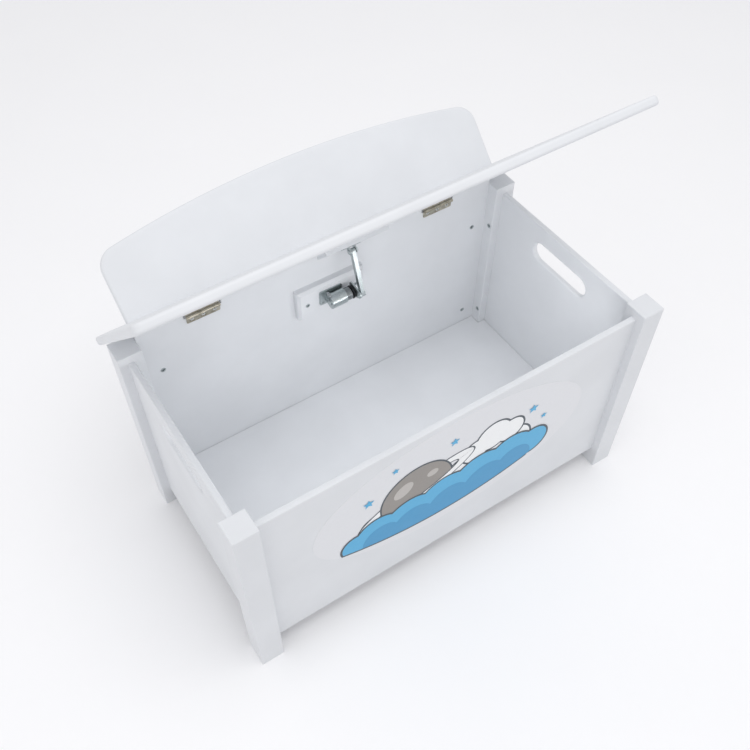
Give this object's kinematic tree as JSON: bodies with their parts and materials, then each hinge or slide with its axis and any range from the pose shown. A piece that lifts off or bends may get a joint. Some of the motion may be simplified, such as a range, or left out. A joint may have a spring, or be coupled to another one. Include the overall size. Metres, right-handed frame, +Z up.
{
  "type": "toy box",
  "caption": "Wooden toy box on corner posts, with a hinged bench lid carrying an arched backrest, hand slots in the sides and a torsion stay that holds the lid.",
  "frame": {"origin": "on the floor, in the middle of the footprint of the box with its lid held open", "axes": "+X to the right along the box seen from the front, +Y to the back, +Z up"},
  "size_m": [0.67, 0.4272, 0.6063],
  "materials": {
    "painted_posts": "white satin paint",
    "painted_board": "white satin paint",
    "zinc_plated_steel": "bright zinc plate",
    "nickel_plated_steel": "nickel plate",
    "spring_steel": "bright wire",
    "black_nylon": "moulded",
    "printed_film": "printed film"
  },
  "bodies": {
    "box": {"post_front_left": "painted_posts", "post_front_right": "painted_posts", "post_rear_left": "painted_posts", "post_rear_right": "painted_posts", "front_panel": "painted_board", "back_panel": "painted_board", "left_panel": "painted_board", "right_panel": "painted_board", "floor_panel": "painted_board", "floor_cleat_front": "painted_board", "floor_cleat_rear": "painted_board", "barrel_nuts": "zinc_plated_steel", "connecting_bolts": "zinc_plated_steel", "front_picture": "printed_film", "hinge_left_fixed_leaf": "nickel_plated_steel", "hinge_right_fixed_leaf": "nickel_plated_steel", "hinge_left_pin": "nickel_plated_steel", "hinge_right_pin": "nickel_plated_steel", "hinge_box_screws": "zinc_plated_steel", "stay_block": "painted_board", "stay_block_screws": "zinc_plated_steel", "stay_bracket": "zinc_plated_steel", "stay_bracket_screws": "zinc_plated_steel", "stay_housing": "zinc_plated_steel", "stay_spring": "spring_steel", "stay_washer": "black_nylon"},
    "lid": {"lid_board": "painted_board", "backrest": "painted_board", "backrest_screws": "zinc_plated_steel", "hinge_cleat_left": "painted_board", "hinge_cleat_right": "painted_board", "hinge_left_moving_leaf": "nickel_plated_steel", "hinge_right_moving_leaf": "nickel_plated_steel", "hinge_lid_screws": "zinc_plated_steel", "stay_batten": "painted_board", "batten_screws": "zinc_plated_steel", "clevis_bracket": "zinc_plated_steel", "clevis_screws": "zinc_plated_steel", "clevis_pin": "zinc_plated_steel"},
    "stay_lever": {"stay_lever": "zinc_plated_steel", "stay_spindle": "zinc_plated_steel", "stay_rivet": "zinc_plated_steel"},
    "stay_link": {"stay_link": "zinc_plated_steel"}
  },
  "joints": [
    {"name": "lid_hinge", "type": "hinge", "parent": "box", "child": "lid", "pos_m": [0, 0.11797, 0.353], "axis": [-1, 0, 0], "range_deg": [-47.8, 5]},
    {"name": "stay_lever_pivot", "type": "hinge", "parent": "box", "child": "stay_lever", "pos_m": [0.028, 0.09437, 0.288], "axis": [-1, 0, 0], "range_deg": [-47.8, 5]},
    {"name": "stay_link_pivot", "type": "hinge", "parent": "stay_lever", "child": "stay_link", "pos_m": [0.033, 0.0782, 0.29336], "axis": [-1, 0, 0], "range_deg": [-5, 47.8]}
  ],
  "couplings": [
    {"joint": "stay_lever_pivot", "follows": "lid_hinge", "ratio": 1},
    {"joint": "stay_link_pivot", "follows": "lid_hinge", "ratio": -1}
  ]
}
